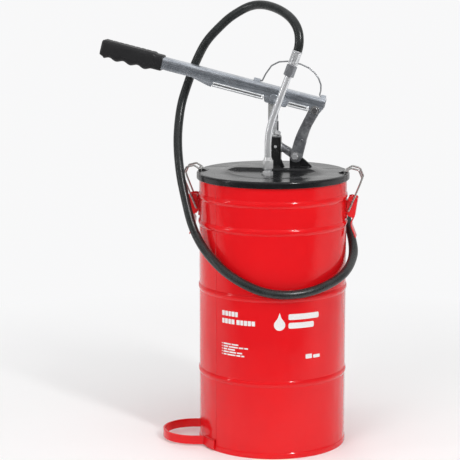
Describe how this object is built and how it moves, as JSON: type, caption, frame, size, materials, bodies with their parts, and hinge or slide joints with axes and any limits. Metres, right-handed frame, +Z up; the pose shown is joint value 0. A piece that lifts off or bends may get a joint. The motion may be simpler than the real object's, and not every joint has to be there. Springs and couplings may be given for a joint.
{
  "type": "hand_lever_grease_pump",
  "caption": "Hand-lever bucket grease pump: red steel drum, black latched lid, lever pump with link fulcrum, and a black delivery hose round the drum",
  "frame": {"origin": "centre of the drum base, on the ground", "axes": "+Z up along the drum axis; the lever, its link and the two lid latches lie in the XZ plane, with the grip towards -X; the outlet pipe is on the -Y side"},
  "size_m": [0.4122, 0.2701, 0.694],
  "materials": {
    "drum_paint": "gloss red enamel over steel sheet",
    "latch_paint": "gloss red enamel, worn at the edges",
    "black_paint": "gloss black enamel",
    "bright_zinc": "bright zinc plated steel",
    "lever_zinc": "zinc plated pressed steel",
    "rough_zinc": "dull mottled zinc plate",
    "rod_steel": "ground steel",
    "bare_steel": "plain steel, oiled",
    "cast_block": "as cast",
    "grip_plastic": "moulded, fine texture",
    "hose_rubber": "smooth extruded cover",
    "seal_rubber": "moulded rubber"
  },
  "bodies": {
    "root": {"bleed_screw": "bright_zinc", "brace_strut": "bright_zinc", "coupler_body": "bright_zinc", "coupler_nose": "bright_zinc", "discharge_pipe": "bright_zinc", "drum_bottom": "drum_paint", "drum_shell": "drum_paint", "end_ferrule": "bright_zinc", "foot_bracket": "black_paint", "foot_loop": "drum_paint", "fulcrum_bolt": "bright_zinc", "fulcrum_nut": "bright_zinc", "fulcrum_washers": "bright_zinc", "gland_nut": "bright_zinc", "grease_hose": "hose_rubber", "head_screw": "bright_zinc", "hose_clip": "bright_zinc", "hose_ferrule": "bright_zinc", "inlet_ball_stop": "bare_steel", "latch_bracket_left": "drum_paint", "latch_bracket_right": "drum_paint", "latch_pin_left": "bright_zinc", "latch_pin_right": "bright_zinc", "lid_cap": "black_paint", "lid_gasket": "seal_rubber", "lid_lugs": "black_paint", "outlet_fitting": "bright_zinc", "outlet_locknut": "bright_zinc", "pipe_nut_lower": "bright_zinc", "pipe_nut_upper": "bright_zinc", "pump_barrel": "bare_steel", "pump_head": "black_paint", "riser_tube": "bare_steel", "rod_packing": "seal_rubber", "suction_strainer": "bare_steel", "valve_block": "cast_block"},
    "link": {"fulcrum_link": "rough_zinc"},
    "lever": {"lever_channel": "lever_zinc", "grip": "grip_plastic", "bail_eyes": "lever_zinc", "lever_pin": "bright_zinc", "lever_pin_clip": "bright_zinc", "link_bolt": "bright_zinc", "link_nut": "bright_zinc", "link_washers": "bright_zinc"},
    "bail": {"wire_bail": "bright_zinc"},
    "rod": {"piston_rod": "rod_steel", "rod_clevis": "bright_zinc", "piston": "rod_steel", "piston_cup": "seal_rubber", "piston_nut": "bright_zinc"},
    "follower": {"follower_plate": "bare_steel", "follower_seal": "seal_rubber"},
    "inlet_valve": {"inlet_ball": "rod_steel"},
    "outlet_valve": {"outlet_ball": "rod_steel"},
    "latch_right": {"latch_lever_right": "latch_paint"},
    "latch_left": {"latch_lever_left": "latch_paint"},
    "latch_wire_right": {"latch_bail_right": "bright_zinc"},
    "latch_wire_left": {"latch_bail_left": "bright_zinc"}
  },
  "joints": [
    {"name": "pump_lever", "type": "hinge", "parent": "link", "child": "lever", "pos_m": [0.0655, 0, 0.528], "axis": [0, 1, 0], "range_deg": [-3, 45]},
    {"name": "link_swing", "type": "hinge", "parent": "root", "child": "link", "pos_m": [0.035, 0, 0.456], "axis": [0, 1, 0], "range_deg": [-13.6, 1.1]},
    {"name": "rod_stroke", "type": "slide", "parent": "root", "child": "rod", "axis": [0, 0, 1], "range_m": [-0.0026, 0.0371]},
    {"name": "lever_bail", "type": "hinge", "parent": "lever", "child": "bail", "pos_m": [0.07075, 0, 0.54936], "axis": [-0.9711, 0, 0.2385], "range_deg": [0, 80]},
    {"name": "follower_slide", "type": "slide", "parent": "root", "child": "follower", "axis": [0, 0, 1], "range_m": [-0.2, 0.085]},
    {"name": "inlet_lift", "type": "slide", "parent": "root", "child": "inlet_valve", "axis": [0, 0, 1], "range_m": [0, 0.005]},
    {"name": "outlet_lift", "type": "slide", "parent": "root", "child": "outlet_valve", "axis": [0, 0, 1], "range_m": [0, 0.002]},
    {"name": "latch_right_open", "type": "hinge", "parent": "root", "child": "latch_right", "pos_m": [0.1215, 0, 0.39], "axis": [0, -1, 0], "range_deg": [0, 85]},
    {"name": "latch_wire_right", "type": "hinge", "parent": "latch_right", "child": "latch_wire_right", "pos_m": [0.119, 0, 0.372], "axis": [0, -1, 0], "range_deg": [-61, 0]},
    {"name": "latch_left_open", "type": "hinge", "parent": "root", "child": "latch_left", "pos_m": [-0.1215, 0, 0.39], "axis": [0, 1, 0], "range_deg": [0, 85]},
    {"name": "latch_wire_left", "type": "hinge", "parent": "latch_left", "child": "latch_wire_left", "pos_m": [-0.119, 0, 0.372], "axis": [0, 1, 0], "range_deg": [-61, 0]}
  ],
  "couplings": [
    {"joint": "link_swing", "follows": "pump_lever", "ratio": -0.295},
    {"joint": "rod_stroke", "follows": "pump_lever", "m_per_rad": 0.047},
    {"joint": "latch_wire_right", "follows": "latch_right_open", "ratio": -0.705},
    {"joint": "latch_wire_left", "follows": "latch_left_open", "ratio": -0.705}
  ]
}
